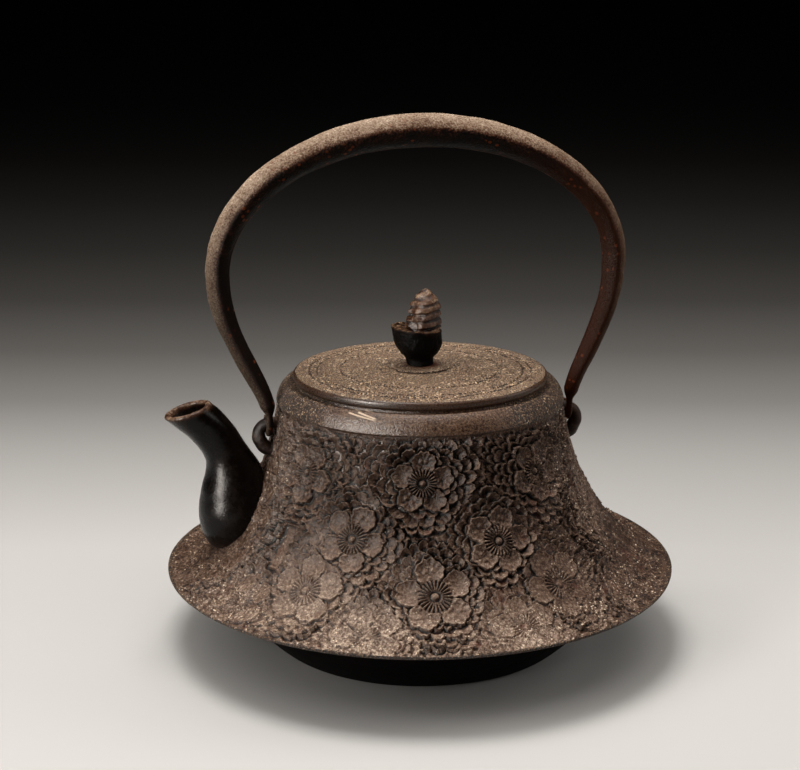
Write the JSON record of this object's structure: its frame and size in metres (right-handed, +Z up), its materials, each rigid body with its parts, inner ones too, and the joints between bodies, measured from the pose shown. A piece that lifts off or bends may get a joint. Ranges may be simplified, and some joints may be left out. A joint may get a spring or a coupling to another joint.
{
  "type": "cast-iron kettle",
  "caption": "Cast-iron water kettle with a flared body and wide skirt, S-shaped spout, swinging arch handle hooked in its ears, and a loose lid with a cone knob.",
  "frame": {"origin": "middle of the flat bottom, on the surface that the kettle stands on", "axes": "+Z up, the handle's plane is XZ, the spout points to -X, the handle's hooks enter the ears from -Y"},
  "size_m": [0.2, 0.2, 0.2066],
  "materials": {
    "body_iron": "rough cast relief, dark brown patina",
    "black_iron": "smooth black lacquered iron",
    "lid_iron": "granular brown cast surface",
    "bail_iron": "forged, brown with pale wear on top",
    "rust_iron": "rusty, satin"
  },
  "bodies": {
    "kettle": {"body_shell": "body_iron", "bottom_bowl": "black_iron", "spout": "black_iron", "ear_spout_side": "body_iron", "ear_far_side": "body_iron"},
    "handle": {"bail_handle": "bail_iron"},
    "lid": {"lid_plate": "lid_iron", "knob_seat": "rust_iron", "knob_cup": "black_iron", "knob_washer": "black_iron", "knob_cone": "rust_iron"}
  },
  "joints": [
    {"name": "handle_swing", "type": "hinge", "parent": "kettle", "child": "handle", "pos_m": [0, 0, 0.0892], "axis": [1, 0, 0], "range_deg": [-112, 95]},
    {"name": "lid_lift", "type": "slide", "parent": "kettle", "child": "lid", "axis": [0, 0, 1], "range_m": [0, 0.05]}
  ]
}
